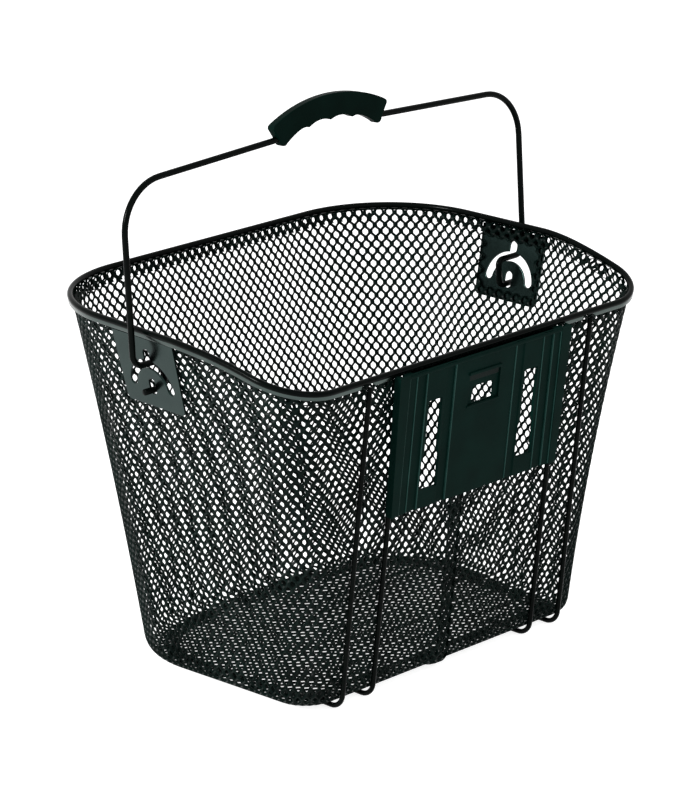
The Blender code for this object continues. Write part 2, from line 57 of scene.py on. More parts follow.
RIM_Z = PIVOT.z + 0.0402
RIM_FRONT_Y = 0.1279
RIM_REAR_Y = -0.1222
RIM_DROP = 0.0200
RIM_DROP_START_Y = -0.0177
RIM_DROP_POWER = 1.7
RIM_CORNERS = (
    (0.0410, RIM_FRONT_Y, 0.0410),
    (0.1689, RIM_FRONT_Y, 0.0780),
    (0.1754, -0.0296, 0.0140),
    (0.1670, RIM_REAR_Y, 0.0340),
)
BASE_Z = 0.0037
BASE_CORNERS = (
    (0.0410, 0.0930, 0.0410),
    (0.1420, 0.0742, 0.0573),
    (0.1352, -0.0290, 0.0140),
    (0.1312, -0.0958, 0.0240),
)
RING_STEPS = ((0, 20), (4, 36), (24, 8), (16, 32), 28)
BEAD_RADIUS = 0.0021
SKIRT_TOP = 0.0010        # the skirt's edges, below the bead's centre
SKIRT_DEPTH = 0.0036
SKIRT_IN = 0.0007         # its faces, outside the bead's centre line
SKIRT_OUT = 0.0015
SKIRT_EDGE = 0.0002
NOTCH_HALF = 0.0058       # notches in the skirt over the support wires
NOTCH_RISE = 0.0026
NOTCH_REACH = 0.02        # how far round a notch the skirt has finer steps
NOTCH_STEPS = 10
REAR_SPREAD = 1.12        # the rim's width over the middle outline's, in the rear wall
REAR_SIDE_Y = -0.11       # the rim behind this is the rear wall's
WALL_INSET = 0.0012       # the mesh's mid surface inside the bead's centre line
SIDE_FLARE = 0.65
FRONT_FLARE = 0.30
FLARE_FADE = 1.45
FLARE_FADE_START = 0.10
BOTTOM_RADIUS = 0.0100
FLANGE = 0.0115
REAR_LEAN = math.atan(0.1125)
WIRE_RADIUS = 0.0017
WIRE_STANDOFF = 0.0028
OUTER_WIRE_X = 0.1035
INNER_WIRE_X = 0.0755
WIRE_PLACES = (-OUTER_WIRE_X, -INNER_WIRE_X, INNER_WIRE_X, OUTER_WIRE_X)
WIRE_NAMES = ("left_outer", "left_inner", "right_inner", "right_outer")
WIRE_TOP_GAP = 0.0011
WIRE_END_ROUND = 0.0003
FOOT_BEND_RADIUS = 0.0105
PLATE_TOP = 0.0018
PLATE_BOTTOM = 0.0985
PLATE_HALF_TOP = 0.0805
PLATE_HALF_BOTTOM = 0.0775
PLATE_BACK = 0.0019
PLATE_SHELL_BACK = 0.0042
PLATE_SHELL_X = 0.0665
PLATE_FACES = (            # far edge in x and standoff of each step, from the middle out
    (0.0280, 0.0064), (0.0362, 0.0057), (0.0550, 0.0064), (0.0640, 0.0057),
    (0.0710, 0.0064), (0.0850, 0.0074),
)
PLATE_STEP_SLOPE = 0.0004
PLATE_EDGE = 0.00035
PLATE_BARS = (             # name, lowest and highest corner in the rear wall's axes, edge
    ("plate_lip", (-0.0795, -0.0040, 0.0058), (0.0795, -0.0020, 0.0072), 0.0005),
    ("latch_hood", (-0.0152, -0.0152, 0.0056), (0.0152, -0.0130, 0.0074), 0.0005),
    ("latch_sill", (-0.0152, -0.0376, 0.0058), (0.0152, -0.0362, 0.0070), 0.0004),
    # a near-black strip in the pocket under the latch hood: painted shade where the hood shadows the
    # pocket
    ("latch_tongue", (-0.0138, -0.0196, 0.0046), (0.0138, -0.0156, 0.0056), 0.0003),
)
GROOVE_GAP = 0.0003        # between a support wire and its groove in the plate
CUT_MARGIN = 0.0040        # how far the cutters pass the plate's ends
CUT_SIDE_X = 0.0950
CUT_STANDOFF = 0.0060      # the middle of the cutters through the plate, and half their depth
CUT_HALF_DEPTH = 0.0120
SLOT_X = 0.0450
SLOT_TOP = 0.0240
SLOT_STEP = 0.0600
SLOT_BOTTOM = 0.0858
SLOT_TAPER = 0.0040
SLOT_HALF_UPPER = 0.0062
SLOT_HALF_LOWER = 0.0081
POCKET_HALF_WIDTH = 0.0145
POCKET_TOP = 0.0140
POCKET_BOTTOM = 0.0362
POCKET_FLOOR = 0.0052
LATCH_HALF_WIDTH = 0.0098
LATCH_TOP = 0.0241
LATCH_BOTTOM = 0.0355
POCKET_CUT_HALF = 0.0040
RIDGE_HALF_WIDTH = 0.0004
RIDGE_EDGE = 0.00025
RIDGE_BACK = 0.0050
RIDGE_TOP = PLATE_TOP + 0.0022
RIDGE_BOTTOM = PLATE_BOTTOM - 0.0006
RIDGES = (                # x and standoff of the fine ridges' tops
    (-0.0710, 0.0070), (-0.0640, 0.0068), (-0.0545, 0.0068), (-0.0282, 0.0068), (0.0282, 0.0068),
    (0.0368, 0.0063), (0.0545, 0.0068), (0.0640, 0.0068), (0.0710, 0.0070),
)
PIVOT_PLATE_THICKNESS = 0.0015
PIVOT_PLATE_WIDTH = 0.0577
PIVOT_PLATE_HEIGHT = 0.0470
PIVOT_PLATE_RISE = 0.0026
PIVOT_PLATE_TAPER = (0.0006, 0.0022)
PIVOT_PLATE_CORNER = 0.0035
PIVOT_PLATE_EDGE = 0.0003
PIVOT_PLATE_POINTS = (     # the right plate's outer face: top front, top rear and low rear
    (0.17355, 0.0354, RIM_Z - 0.0068),
    (0.17510, -0.0222, RIM_Z - 0.0068),
    (0.16440, -0.0226, RIM_Z - 0.0523),
)
ARC_RADIUS = 0.0180
ARC_HALF_ANGLE = math.radians(80.0)
SLOT_HALF_WIDTH = 0.0031
NOTCH_TOP = 0.0285
LOWER_SLOT_LIFT = 0.0048
BAIL_RADIUS = 0.0021
BAIL_LEAN = math.radians(3.8)
BAIL_HALF_WIDTH = 0.1821
BAIL_INNER_X = 0.1570
BAIL_STUB_X = 0.1745
BAIL_SHOULDER_H = 0.1338
BAIL_MIDDLE_X = 0.0480     # the top dips to here, then climbs under the grip
BAIL_MIDDLE_H = 0.1397
BAIL_GRIP_X = 0.0280
BAIL_GRIP_H = 0.1480
BAIL_CROWN_H = 0.1535
BAIL_END_ROUND = 0.0004
BAIL_CORNER_RADIUS = 0.033
BAIL_BENDS = (0.0040, 0.0040, 0.0080, BAIL_CORNER_RADIUS, 0.020, 0.060)
BAIL_CROWN = 0.0600
GRIP_HALF_LENGTH = 0.0525
GRIP_THICKNESS = 0.0064
GRIP_TOP_H = 0.1621
GRIP_ARCH_RADIUS = 0.1148
GRIP_ARCH_HALF = 0.0500
GRIP_EDGE = 0.0008
GRIP_END_H = (0.1476, 0.1494)              # of the upright end and of its chamfer
GRIP_END_CHAMFER = 0.0006
GRIP_TIP = (0.0432, 0.1386)                # centre of the round tip
GRIP_TIP_RADIUS = 0.0035
GRIP_TIP_START = math.radians(232)
GRIP_TIP_END = math.radians(360)
GRIP_HOLLOW = ((0.0, 0.1449), (0.0062, 0.1475), (0.0138, 0.1469), (0.0200, 0.1432))
GRIP_LOBE = ((0.0200, 0.1432), (0.0245, 0.1456), (0.0330, 0.1415), (0.0408, 0.1362))

# ---- expanded metal ------------------------------------------------------------------
CELL_WIDTH = 0.0066       # between hole centres round the wall
CELL_HEIGHT = 0.0088      # between hole centres down the wall
HOLE_SIDE_X = 0.00176     # a hole is a hexagon standing on a point
HOLE_SIDE_Y = 0.00090
HOLE_TIP_Y = 0.00254
BOND_HALF = 0.0010        # half length of the short upright strands
STRAND_HALF_DEPTH = 0.00085
STRAND_TILT = 0.00040
SEAM_X = -0.0130
SEAM_OVERLAP = 0.0085
SEAM_RAMP = 0.0060        # how far the strip takes to climb over its own start
SEAM_LIFT = 2.2 * STRAND_HALF_DEPTH
TRIM = 0.0010             # cells this far past an edge are kept, and pressed to the edge
SIDE_WINDOW_Y = (-0.0235, 0.0255)          # from the bail's pivot
SIDE_WINDOW_DEPTH = (0.0100, 0.0455)       # below the front rim
SIDE_WINDOW_X = 0.12
REAR_WINDOW_HALF = 0.0610
REAR_WINDOW_DEPTH = (0.0225, 0.0960)       # below the rear rim, down the wall
REAR_WINDOW_Y = -0.08
HEM_TOP = 0.0016          # the hem's edges, below the bead's centre
HEM_BOTTOM = 0.0092
HEM_INSET = 2.1 * STRAND_HALF_DEPTH + 0.0003
WELD_COUNT = 40
WELD_DEPTH = 0.0058
WELD_INSET = 0.0019
WELD_RADIUS = 0.0015
WELD_FLATNESS = 0.45
BASE_LIFT = 0.0019        # the base panel's middle above the wall's underside
BASE_TILT = 0.8           # the base panel's strands are pressed flatter
BASE_HALF_SIZE = (0.14, 0.11)
MERGE_SCALE = 2e5         # corners that round to the same steps of 5 micrometres are one
SMALLEST_FACE = 2e-9      # in square metres


# ---- small helpers -----------------------------------------------------------------------
def new_object(name, mesh):
    obj = bpy.data.objects.new(name, mesh)
    bpy.context.scene.collection.objects.link(obj)
    return obj


def from_bmesh(name, bm, auto_angle=35.0):
    bm.normal_update()
    bmesh.ops.recalc_face_normals(bm, faces=bm.faces)
    mesh = bpy.data.meshes.new(name)
    bm.to_mesh(mesh)
    bm.free()
    obj = new_object(name, mesh)
    mesh.shade_smooth()
    mesh.set_sharp_from_angle(angle=math.radians(auto_angle))
    return obj


def arc(centre, radius, start, end, count):
    return [
        (
            centre[0] + radius * math.cos(start + (end - start) * i / count),
            centre[1] + radius * math.sin(start + (end - start) * i / count),
        )
        for i in range(count + 1)
    ]


def bezier(p0, p1, p2, p3, count):
    result = []
    for i in range(count + 1):
        t = i / count
        w = ((1 - t) ** 3, 3 * t * (1 - t) ** 2, 3 * t * t * (1 - t), t**3)
        result.append(
            tuple(w[0] * a + w[1] * b + w[2] * c + w[3] * d for a, b, c, d in zip(p0, p1, p2, p3))
        )
    return result


def fillet(points, radii, count=8):
    """A 3D polyline with a round bend at each inner point."""
    pts = [Vector(p) for p in points]
    result = [pts[0]]
    for before, corner, after, radius in zip(pts, pts[1:], pts[2:], radii):
        a = (before - corner).normalized()
        b = (after - corner).normalized()
        angle = a.angle(b)
        reach = radius / math.tan(angle / 2)
        centre = corner + (a + b).normalized() * radius / math.sin(angle / 2)
        start = corner + a * reach - centre
        axis = start.cross(corner + b * reach - centre).normalized()
        for i in range(count + 1):
            turn = Matrix.Rotation((math.pi - angle) * i / count, 3, axis)
            result.append(centre + turn @ start)
    result.append(pts[-1])
    return result


def tube(name, path, radius, sides=16, closed=False, end_round=0.0):
    """A round wire: rings of points swept along a path, with softened ends."""
    pts = [Vector(p) for p in path]
    radii = [radius] * len(pts)
    if end_round and not closed:
        first = (pts[0] - pts[1]).normalized()
        last = (pts[-1] - pts[-2]).normalized()
        pts = [pts[0], pts[0] - first * end_round, *pts[1:-1],
               pts[-1] - last * end_round, pts[-1]]
        radii = [radius - end_round, radius, *radii[1:-1], radius, radius - end_round]
    bm = bmesh.new()
    rings = []
    count = len(pts)
    side = None
    for i, (p, r) in enumerate(zip(pts, radii)):
        if closed:
            along = pts[(i + 1) % count] - pts[i - 1]
        else:
            along = pts[min(i + 1, count - 1)] - pts[max(i - 1, 0)]
        along.normalize()
        if side is None:
            side = along.orthogonal().normalized()
            if closed:
                side = along.cross(Vector((0, 0, 1))).normalized()
        side = (side - along * side.dot(along)).normalized()
        other = along.cross(side)
        ring = []
        for k in range(sides):
            a = 2 * math.pi * k / sides
            ring.append(bm.verts.new(p + (side * math.cos(a) + other * math.sin(a)) * r))
        rings.append(ring)
    pairs = list(zip(rings, rings[1:]))
    if closed:
        pairs.append((rings[-1], rings[0]))
    for a, b in pairs:
        for k in range(sides):
            j = (k + 1) % sides
            bm.faces.new((a[k], a[j], b[j], b[k]))
    if not closed:
        bm.faces.new(rings[0])
        bm.faces.new(rings[-1])
    return from_bmesh(name, bm, 50.0)


def flat_curve(name, rings, half_depth, matrix):
    """A flat outline with holes and thickness as a mesh object, placed by a matrix."""
    curve = bpy.data.curves.new(name, "CURVE")
    curve.dimensions = "2D"
    curve.fill_mode = "BOTH"
    curve.extrude = half_depth
    for ring in rings:
        spline = curve.splines.new("POLY")
        spline.points.add(len(ring) - 1)
        for point, co in zip(spline.points, ring):
            point.co = (co[0], co[1], 0.0, 1.0)
        spline.use_cyclic_u = True
    holder = new_object(name + "_curve", curve)
    bpy.context.view_layer.update()
    mesh = bpy.data.meshes.new_from_object(
        holder.evaluated_get(bpy.context.evaluated_depsgraph_get())
    )
    bpy.data.objects.remove(holder, do_unlink=True)
    bm = bmesh.new()
    bm.from_mesh(mesh)
    bmesh.ops.remove_doubles(bm, verts=bm.verts, dist=1e-6)
    bmesh.ops.dissolve_limit(bm, angle_limit=0.002, verts=bm.verts, edges=bm.edges)
    bm.transform(matrix)
    bm.normal_update()
    bmesh.ops.recalc_face_normals(bm, faces=bm.faces)
    bm.to_mesh(mesh)
    bm.free()
    mesh.materials.clear()
    mesh.name = name
    return new_object(name, mesh)


def soften(obj, width, segments=2, angle=30.0):
    """Rounded edges where faces meet at more than an angle in degrees."""
    mod = obj.modifiers.new("edge", "BEVEL")
    mod.width = width
    mod.segments = segments
    mod.limit_method = "ANGLE"
    mod.angle_limit = math.radians(angle)


def cut(obj, cutter):
    mod = obj.modifiers.new("cut", "BOOLEAN")
    mod.operation = "DIFFERENCE"
    mod.solver = "EXACT"
    mod.object = cutter


def bake(obj, cutters=()):
    """Applies the object's modifiers, removes its cutters and shades its big faces flat."""
    flat = obj.modifiers.get("flat")
    if flat:
        obj.modifiers.remove(flat)
    bpy.context.view_layer.update()
    mesh = bpy.data.meshes.new_from_object(
        obj.evaluated_get(bpy.context.evaluated_depsgraph_get())
    )
    obj.modifiers.clear()
    obj.data = mesh
    for cutter in cutters:
        bpy.data.objects.remove(cutter, do_unlink=True)
    mesh.shade_smooth()
    mesh.set_sharp_from_angle(angle=math.radians(38))
    flat = obj.modifiers.new("flat", "WEIGHTED_NORMAL")
    flat.keep_sharp = True
    return obj


# ---- the wall's surface ---------------------------------------------------------------------
def half_ring(corners, counts):
    """Half a closed outline, from the front middle round the +X side to the rear middle."""
    points = [Vector((0.0, corners[0][1]))]
    vertices = [points[0], *(Vector(c[:2]) for c in corners), Vector((0.0, corners[-1][1]))]
    for i, (run, bend) in enumerate(counts[:-1]):
        corner = vertices[i + 1]
        reach = corners[i][2]
        a = (vertices[i] - corner).normalized()
        b = (vertices[i + 2] - corner).normalized()
        start = corner + a * reach
        end = corner + b * reach
        last = points[-1]
        points += [last.lerp(start, k / run) for k in range(1, run + 1)]
        for k in range(1, bend + 1):
            t = k / bend
            weight = math.cos((math.pi - a.angle(b)) / 2)
            w0, w1, w2 = (1 - t) ** 2, 2 * t * (1 - t) * weight, t * t
            points.append((start * w0 + corner * w1 + end * w2) / (w0 + w1 + w2))
    last = points[-1]
    run = counts[-1]
    points += [last.lerp(vertices[-1], k / run) for k in range(1, run + 1)]
    return points


def full_ring(corners):
    """The closed outline from the rear middle round the +X side, the front and the -X side."""
    half = half_ring(corners, RING_STEPS)
    return np.array([tuple(p) for p in reversed(half)] + [(-p.x, p.y) for p in half[1:]])


RIM = full_ring(RIM_CORNERS)
BASE = full_ring(BASE_CORNERS)
MIDDLE = (RIM + BASE) / 2
ALONG = np.concatenate([[0.0], np.cumsum(np.linalg.norm(np.diff(MIDDLE, axis=0), axis=1))])
GIRTH = ALONG[-1]


def ring_normals(ring):
    closed = ring[:-1]
    along = np.roll(closed, -1, axis=0) - np.roll(closed, 1, axis=0)
    out = np.stack([along[:, 1], -along[:, 0]], axis=1)
    out /= np.linalg.norm(out, axis=1, keepdims=True)
    return np.vstack([out, out[:1]])


RIM_OUT = ring_normals(RIM)
BASE_OUT = ring_normals(BASE)


def rim_height(y):
    run = np.maximum(0.0, RIM_DROP_START_Y - y) / (RIM_DROP_START_Y - RIM_REAR_Y)
    return RIM_Z - RIM_DROP * run**RIM_DROP_POWER


def round_ring(s, table):
    """Values of a ring table at distances s along the middle outline."""
    s = np.mod(s, GIRTH)
    return np.stack([np.interp(s, ALONG, table[:, k]) for k in range(table.shape[1])], axis=-1)


BEND_LENGTH = 1.6232 * BOTTOM_RADIUS            # of the parabola that turns the wall in
BEND_START = RIM_Z - BASE_Z - BOTTOM_RADIUS     # depth below the front rim


def surface(s, depth):
    """Points of the wall's mid surface at distance s round it and depth down it.

    Below the bend's start, depth is measured round the bend and along the flange.
    """
    rim = round_ring(s, RIM)
    base = round_ring(s, BASE)
    rim_out = round_ring(s, RIM_OUT)
    base_out = round_ring(s, BASE_OUT)
    top = rim_height(rim[..., 1])

    def side(z):
        h = (z - BASE_Z) / (top - BASE_Z)
        forward = np.maximum(0.0, rim_out[..., 1] - FLARE_FADE_START)
        fade = np.maximum(0.0, 1.0 - FLARE_FADE * forward)
        ease_x = h + SIDE_FLARE * fade * (h * h - h)
        ease_y = h + FRONT_FLARE * np.maximum(0.0, rim_out[..., 1]) * (h * h - h)
        x = base[..., 0] + (rim[..., 0] - base[..., 0]) * ease_x - WALL_INSET * rim_out[..., 0] * h
        y = base[..., 1] + (rim[..., 1] - base[..., 1]) * ease_y - WALL_INSET * rim_out[..., 1] * h
        return np.stack([x, y, z], axis=-1)

    z = np.minimum(RIM_Z - np.minimum(depth, BEND_START), top - BEAD_RADIUS * 0.5)
    wall = side(z)
    lift = STRAND_HALF_DEPTH
    bend_top = side(np.full_like(z, BASE_Z + BOTTOM_RADIUS))
    corner = np.concatenate([base, np.full_like(z, BASE_Z + lift)[..., None]], axis=-1)
    inset = base - base_out * BOTTOM_RADIUS
    bend_low = np.concatenate([inset, np.full_like(z, BASE_Z + lift)[..., None]], axis=-1)
    t = np.clip((depth - BEND_START) / BEND_LENGTH, 0.0, 1.0)[..., None]
    bend = bend_top * (1 - t) ** 2 + corner * 2 * t * (1 - t) + bend_low * t * t
    past = np.clip(depth - BEND_START - BEND_LENGTH, 0.0, FLANGE)[..., None]
    inward = np.concatenate([-base_out, np.zeros_like(z)[..., None]], axis=-1)
    below = (depth > BEND_START)[..., None]
    return np.where(below, bend + inward * past, wall)


def surface_normal(s, depth):
    step = 0.0008
    ds = surface(s + step, depth) - surface(s - step, depth)
    dv = surface(s, depth + step) - surface(s, depth - step)
    out = -np.cross(ds, dv)
    length = np.linalg.norm(out, axis=-1, keepdims=True)
    return out / np.maximum(length, 1e-12)


# ---- expanded metal -----------------------------------------------------------------------
HOLE = np.array([
    (HOLE_SIDE_X, HOLE_SIDE_Y), (0.0, HOLE_TIP_Y), (-HOLE_SIDE_X, HOLE_SIDE_Y),
    (-HOLE_SIDE_X, -HOLE_SIDE_Y), (0.0, -HOLE_TIP_Y), (HOLE_SIDE_X, -HOLE_SIDE_Y),
])
TILE_SIDE = CELL_WIDTH / 2
TILE_TIP = CELL_HEIGHT / 2 - BOND_HALF
TILE = np.array([
    (TILE_SIDE, BOND_HALF), (0.0, TILE_TIP), (-TILE_SIDE, BOND_HALF),
    (-TILE_SIDE, -BOND_HALF), (0.0, -TILE_TIP), (TILE_SIDE, -BOND_HALF),
])


def expanded_sheet(x_range, y_range, keep):
    """Strands round hexagonal holes at the lattice points that keep() accepts.

    Returns flat coordinates, side (1 front, -1 back, 0 hole edge), tilt and the quads.
    """
    centres = []
    first_column = math.floor(x_range[0] / CELL_WIDTH) - 1
    last_column = math.ceil(x_range[1] / CELL_WIDTH) + 1
    first_row = math.floor(2 * y_range[0] / CELL_HEIGHT)
    last_row = math.ceil(2 * y_range[1] / CELL_HEIGHT)
    for j in range(first_row, last_row):
        shift = (j % 2) / 2
        for i in range(first_column, last_column):
            centres.append(((i + shift) * CELL_WIDTH, j * CELL_HEIGHT / 2))
    centres = np.array(centres)
    centres = centres[keep(centres[:, 0], centres[:, 1])]
    tile = (centres[:, None, :] + TILE[None]).reshape(-1, 2)
    _, first, shared = np.unique(
        np.round(tile * MERGE_SCALE).astype(int), axis=0, return_index=True, return_inverse=True
    )
    tile_points = tile[first]
    shared = shared.ravel().reshape(-1, 6)
    count = len(tile_points)
    holes = (centres[:, None, :] + HOLE[None]).reshape(-1, 2)
    hole_id = 2 * count + np.arange(len(holes)).reshape(-1, 6)
    flat = np.vstack([tile_points, tile_points, holes])
    side = np.concatenate([np.ones(count), -np.ones(count), np.zeros(len(holes))])
    lean = np.tile(-HOLE[:, 1] / HOLE_TIP_Y, len(centres))
    tilt = np.concatenate([np.zeros(2 * count), lean])
    quads = []
    edges = {}
    for ring, hole in zip(shared.tolist(), hole_id.tolist()):
        for k in range(6):
            n = (k + 1) % 6
            quads.append((ring[k], ring[n], hole[n], hole[k]))
            quads.append((hole[k], hole[n], ring[n] + count, ring[k] + count))
            pair = (min(ring[k], ring[n]), max(ring[k], ring[n]))
            edges[pair] = edges.get(pair, 0) + 1
    for (a, b), uses in edges.items():
        if uses == 1:
            quads.append((a, a + count, b + count, b))
    return flat, side, tilt, quads


def lattice_object(name, points, quads):
    """A mesh from points and quads, without the faces that a trimmed edge flattens."""
    mesh = bpy.data.meshes.new(name)
    mesh.from_pydata(points.tolist(), [], quads)
    bm = bmesh.new()
    bm.from_mesh(mesh)
    flat_faces = [f for f in bm.faces if f.calc_area() < SMALLEST_FACE]
    bmesh.ops.delete(bm, geom=flat_faces, context="FACES_ONLY")
    loose = [v for v in bm.verts if not v.link_faces]
    bmesh.ops.delete(bm, geom=loose, context="VERTS")
    bmesh.ops.recalc_face_normals(bm, faces=bm.faces)
    bm.to_mesh(mesh)
    bm.free()
    mesh.shade_smooth()
    mesh.set_sharp_from_angle(angle=math.radians(60))
    obj = new_object(name, mesh)
    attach(obj, "basket")
    return obj


WALL_BOTTOM = BEND_START + BEND_LENGTH + FLANGE
WALL_START = SEAM_X
WALL_END = SEAM_X + GIRTH + SEAM_OVERLAP


def wall_keep(s, depth):
    """Lattice points on the wall, leaving out the windows behind the plates."""
    p = surface(s, depth)
    top = rim_height(round_ring(s, RIM)[:, 1])
    keep = (depth > -TRIM) & (depth < WALL_BOTTOM + TRIM)
    keep &= (s > WALL_START - TRIM) & (s < WALL_END + TRIM)
    keep &= RIM_Z - depth < top
    y = p[:, 1] - PIVOT.y
    beside = (np.abs(p[:, 0]) > SIDE_WINDOW_X) & (y > SIDE_WINDOW_Y[0]) & (y < SIDE_WINDOW_Y[1])
    keep &= ~(beside & (depth > SIDE_WINDOW_DEPTH[0]) & (depth < SIDE_WINDOW_DEPTH[1]))
    below_rear = (float(rim_height(np.array(RIM_REAR_Y))) - p[:, 2]) / math.cos(REAR_LEAN)
    behind = (p[:, 1] < REAR_WINDOW_Y) & (np.abs(p[:, 0]) < REAR_WINDOW_HALF)
    keep &= ~(behind & (below_rear > REAR_WINDOW_DEPTH[0]) & (below_rear < REAR_WINDOW_DEPTH[1]))
    return keep


def make_wall():
    """The wall strip of expanded sheet, rolled up and lapped at the seam in the rear wall."""
    flat, side, tilt, quads = expanded_sheet(
        (WALL_START, WALL_END), (0.0, WALL_BOTTOM), wall_keep
    )
    s = np.clip(flat[:, 0], WALL_START, WALL_END)
    depth = np.clip(flat[:, 1], 0.0, WALL_BOTTOM)
    lap = np.clip((s - (WALL_END - SEAM_OVERLAP - SEAM_RAMP)) / SEAM_RAMP, 0.0, 1.0)
    offset = side * STRAND_HALF_DEPTH + tilt * STRAND_TILT + lap * SEAM_LIFT
    points = surface(s, depth) + surface_normal(s, depth) * offset[:, None]
    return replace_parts(lattice_object("wall_mesh", points, quads), "mesh_wall")


def make_hem():
    """The wall's top edge folded down inside the basket, with its row of spot welds."""

    def keep(x, y):
        return (y > TRIM) & (y < HEM_BOTTOM) & (x > 0) & (x < GIRTH)

    flat, side, tilt, quads = expanded_sheet((0.0, GIRTH), (0.0, HEM_BOTTOM), keep)
    s = flat[:, 0]
    drop = RIM_Z - rim_height(round_ring(s, RIM)[:, 1])
    depth = np.clip(flat[:, 1], HEM_TOP, HEM_BOTTOM) + drop
    offset = side * STRAND_HALF_DEPTH + tilt * STRAND_TILT - HEM_INSET
    points = surface(s, depth) + surface_normal(s, depth) * offset[:, None]
    hem = lattice_object("hem_mesh", points, quads)
    bm = bmesh.new()
    for k in range(WELD_COUNT):
        s = np.array([(k + 0.5) * GIRTH / WELD_COUNT])
        drop = RIM_Z - rim_height(round_ring(s, RIM)[:, 1])
        depth = drop + WELD_DEPTH
        out = Vector(surface_normal(s, depth)[0])
        centre = Vector(surface(s, depth)[0]) - out * WELD_INSET
        matrix = Matrix.Translation(centre) @ out.to_track_quat("Z", "Y").to_matrix().to_4x4()
        matrix = matrix @ Matrix.Diagonal((1.0, 1.0, WELD_FLATNESS, 1.0))
        bmesh.ops.create_uvsphere(
            bm, u_segments=10, v_segments=6, radius=WELD_RADIUS, matrix=matrix
        )
    welds = from_bmesh("hem_welds", bm)
    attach(welds, "basket")
    return hem, welds


def make_base():
    """The base panel, laid on the wall's inward flange."""
    ring = (BASE - BASE_OUT * (BOTTOM_RADIUS + TRIM))[:-1]

    def inside(x, y):
        hit = np.zeros(len(x), dtype=bool)
        for (x0, y0), (x1, y1) in zip(ring, np.roll(ring, -1, axis=0)):
            if y0 != y1:
                crosses = ((y0 > y) != (y1 > y)) & (x < (x1 - x0) * (y - y0) / (y1 - y0) + x0)
                hit ^= crosses
        return hit

    half_x, half_y = BASE_HALF_SIZE
    flat, side, tilt, quads = expanded_sheet((-half_x, half_x), (-half_y, half_y), inside)
    z = BASE_Z + BASE_LIFT + side * STRAND_HALF_DEPTH + tilt * STRAND_TILT * BASE_TILT
    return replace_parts(lattice_object("base_mesh", np.column_stack([flat, z]), quads), "mesh_base")


# ---- rim ----------------------------------------------------------------------------------
def make_rim():
    """The bead, and the skirt under it with a notch over each support wire."""
    top = rim_height(RIM[:-1, 1])
    bead = tube("rim_bead", np.column_stack([RIM[:-1], top]), BEAD_RADIUS, 20, closed=True)
    stations = []
    for k in range(len(RIM) - 1):
        x = MIDDLE[k, 0] * REAR_SPREAD
        near = RIM[k, 1] < REAR_SIDE_Y and min(abs(x - w) for w in WIRE_PLACES) < NOTCH_REACH
        steps = NOTCH_STEPS if near else 1
        step = ALONG[k + 1] - ALONG[k]
        stations += [ALONG[k] + step * j / steps for j in range(steps)]
    s = np.array(stations)
    rim = round_ring(s, RIM)
    out = round_ring(s, RIM_OUT)
    height = rim_height(rim[:, 1])
    lift = np.zeros(len(s))
    for wire in WIRE_PLACES:
        across = np.abs(rim[:, 0] - wire) / NOTCH_HALF
        bow = np.sqrt(np.maximum(0.0, 1.0 - across**2))
        lift = np.maximum(lift, np.where(rim[:, 1] < REAR_SIDE_Y, bow, 0.0) * NOTCH_RISE)
    edge = height - SKIRT_DEPTH + lift
    profile = (
        (SKIRT_IN, height - SKIRT_TOP),
        (SKIRT_IN, edge),
        (SKIRT_IN + SKIRT_EDGE, edge - SKIRT_EDGE),
        (SKIRT_OUT - SKIRT_EDGE, edge - SKIRT_EDGE),
        (SKIRT_OUT, edge),
        (SKIRT_OUT, height - SKIRT_TOP),
    )
    bm = bmesh.new()
    rows = []
    for offset, z in profile:
        row = np.column_stack([rim + out * offset, z])
        rows.append([bm.verts.new(p) for p in row])
    count = len(s)
    for a, b in zip(rows, rows[1:] + rows[:1]):
        for k in range(count):
            n = (k + 1) % count
            bm.faces.new((a[k], a[n], b[n], b[k]))
    skirt = from_bmesh("rim_skirt", bm, 60.0)
    for piece in (bead, skirt):
        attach(piece, "basket")
    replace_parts(bead, "rim_strip")
    return bead, skirt


# ---- support wires --------------------------------------------------------------------------
REAR_RIM_Z = float(rim_height(np.array(RIM_REAR_Y)))


def rear_matrix(standoff):
    """Local X is +X, local Y runs up the rear wall, local Z is the wall's outward normal."""
    up = Vector((0.0, -math.sin(REAR_LEAN), math.cos(REAR_LEAN)))
    out = Vector((0.0, -math.cos(REAR_LEAN), -math.sin(REAR_LEAN)))
    origin = Vector((0.0, RIM_REAR_Y, REAR_RIM_Z)) + out * standoff
    matrix = Matrix.Identity(4)
    matrix.col[0] = (1.0, 0.0, 0.0, 0.0)
    matrix.col[1] = (*up, 0.0)
    matrix.col[2] = (*out, 0.0)
    matrix.col[3] = (*origin, 1.0)
    return matrix


def make_wires():
    rear = rear_matrix(WIRE_STANDOFF)
    top = rear @ Vector((0.0, -(BEAD_RADIUS + WIRE_TOP_GAP), 0.0))
    down = -rear.col[1].to_3d()
    corner = top + down * ((top.z - WIRE_RADIUS) / -down.z)
    wires = []
    for name, x in zip(WIRE_NAMES, WIRE_PLACES):
        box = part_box("support_wire_" + name)
        ends = [(x, top.y, top.z), (x, corner.y, WIRE_RADIUS), (x, box[1][1], WIRE_RADIUS)]
        path = fillet(ends, [FOOT_BEND_RADIUS], 12)
        upright = [path[0].lerp(path[1], k / 12) for k in range(12)]
        wire = tube("wire_" + name, upright + path[1:], WIRE_RADIUS, 16, end_round=WIRE_END_ROUND)
        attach(wire, "basket")
        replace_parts(wire, "support_wire_" + name)
        wires.append(wire)
    return wires


# ---- receiver plate ---------------------------------------------------------------------
def bar(name, low, high, matrix, edge, segments=3):
    """A box with rounded edges, placed by a matrix."""
    bm = bmesh.new()
    bmesh.ops.create_cube(bm, size=1.0)
    size = Vector(high) - Vector(low)
    centre = (Vector(high) + Vector(low)) / 2
    bm.transform(matrix @ Matrix.Translation(centre) @ Matrix.Diagonal((*size, 1.0)))
    obj = from_bmesh(name, bm)
    soften(obj, edge, segments)
    return bake(obj)


